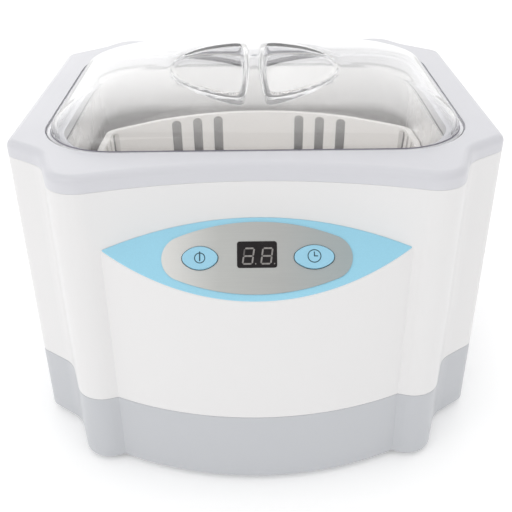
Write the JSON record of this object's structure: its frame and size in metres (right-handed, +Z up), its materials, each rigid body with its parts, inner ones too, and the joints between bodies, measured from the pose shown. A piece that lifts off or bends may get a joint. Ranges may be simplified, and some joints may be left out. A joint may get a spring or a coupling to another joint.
{
  "type": "ultrasonic cleaner",
  "caption": "Bench ultrasonic cleaning bath with a waisted white case, sloping eye-shaped key panel, lift-out basket and clear domed lid with a pinch grip.",
  "frame": {"origin": "on the table under the middle of the case's bounding box", "axes": "+Z up, +X to the operator's right, -Y towards the operator (the key panel faces -Y)"},
  "size_m": [0.1998, 0.2053, 0.154],
  "materials": {
    "housing_white": "smooth moulded ABS, satin gloss",
    "rim_pale": "smooth moulded ABS, pale lavender grey",
    "tray_grey": "smooth moulded ABS, grey",
    "rubber_black": "matt rubber",
    "zinc_steel": "zinc plated steel",
    "bath_white": "drawn stainless steel, satin",
    "seal_rubber": "silicone rubber",
    "basket_white": "moulded polypropylene",
    "clear_lid": "clear moulded plastic",
    "label_blue": "printed polyester film",
    "inlay_silver": "satin silver",
    "window_black": "smoked window",
    "module_black": "display body",
    "board_green": "glass-epoxy board",
    "nylon_white": "nylon",
    "key_blue": "moulded key",
    "switch_black": "moulded plastic",
    "alloy": "machined aluminium",
    "piezo_ceramic": "silvered ceramic",
    "brass_plate": "plated brass",
    "steel_block": "turned steel",
    "ferrite": "ferrite",
    "copper_wire": "enamelled copper",
    "can_black": "sleeved can",
    "film_yellow": "box capacitor",
    "inlet_black": "moulded nylon",
    "lead_brown": "insulated wire",
    "lead_red": "insulated wire",
    "lead_green": "insulated wire",
    "ribbon_grey": "flat cable"
  },
  "bodies": {
    "case": {"base_tray": "tray_grey", "board_screws": "zinc_steel", "board_spacers": "nylon_white", "clamp_screws": "zinc_steel", "display_board": "board_green", "display_board_screws": "zinc_steel", "display_module": "module_black", "display_ribbon": "ribbon_grey", "display_window": "window_black", "driver_board": "board_green", "earth_lead": "lead_green", "earth_lug": "brass_plate", "earth_nut": "zinc_steel", "earth_stud": "zinc_steel", "electrode_plates": "brass_plate", "film_capacitors": "film_yellow", "filter_capacitor": "can_black", "fuse_holder": "brass_plate", "heatsink": "alloy", "housing_screws": "zinc_steel", "inlet_housing": "inlet_black", "inlet_pins": "brass_plate", "inlet_screws": "zinc_steel", "label_overlay": "label_blue", "mains_leads": "lead_brown", "panel_inlay": "inlay_silver", "piezo_rings": "piezo_ceramic", "power_transistors": "switch_black", "rubber_feet": "rubber_black", "tact_switches": "switch_black", "tank": "bath_white", "tank_clamps": "zinc_steel", "tank_gasket": "seal_rubber", "terminal_block": "nylon_white", "top_rim": "rim_pale", "transducer_back_mass": "steel_block", "transducer_bolt": "steel_block", "transducer_horn": "alloy", "transducer_leads": "lead_red", "transformer_core": "ferrite", "transformer_winding": "copper_wire", "upper_housing": "housing_white"},
    "lid_body": {"lid": "clear_lid"},
    "basket_body": {"basket": "basket_white"},
    "power_key": {"power_button": "key_blue", "power_plunger": "switch_black"},
    "timer_key": {"timer_button": "key_blue", "timer_plunger": "switch_black"}
  },
  "joints": [
    {"name": "lid_lift", "type": "slide", "parent": "case", "child": "lid_body", "axis": [0, 0, 1], "range_m": [0, 0.15]},
    {"name": "basket_lift", "type": "slide", "parent": "case", "child": "basket_body", "axis": [0, 0, 1], "range_m": [0, 0.075]},
    {"name": "power_button_press", "type": "slide", "parent": "case", "child": "power_key", "axis": [0, 0.7283, -0.6853], "range_m": [0, 0.0006], "stiffness_N_per_m": 500},
    {"name": "timer_button_press", "type": "slide", "parent": "case", "child": "timer_key", "axis": [0, 0.7283, -0.6853], "range_m": [0, 0.0006], "stiffness_N_per_m": 500}
  ],
  "couplings": [
    {"joint": "basket_lift", "follows": "lid_lift", "ratio": 0.5}
  ]
}
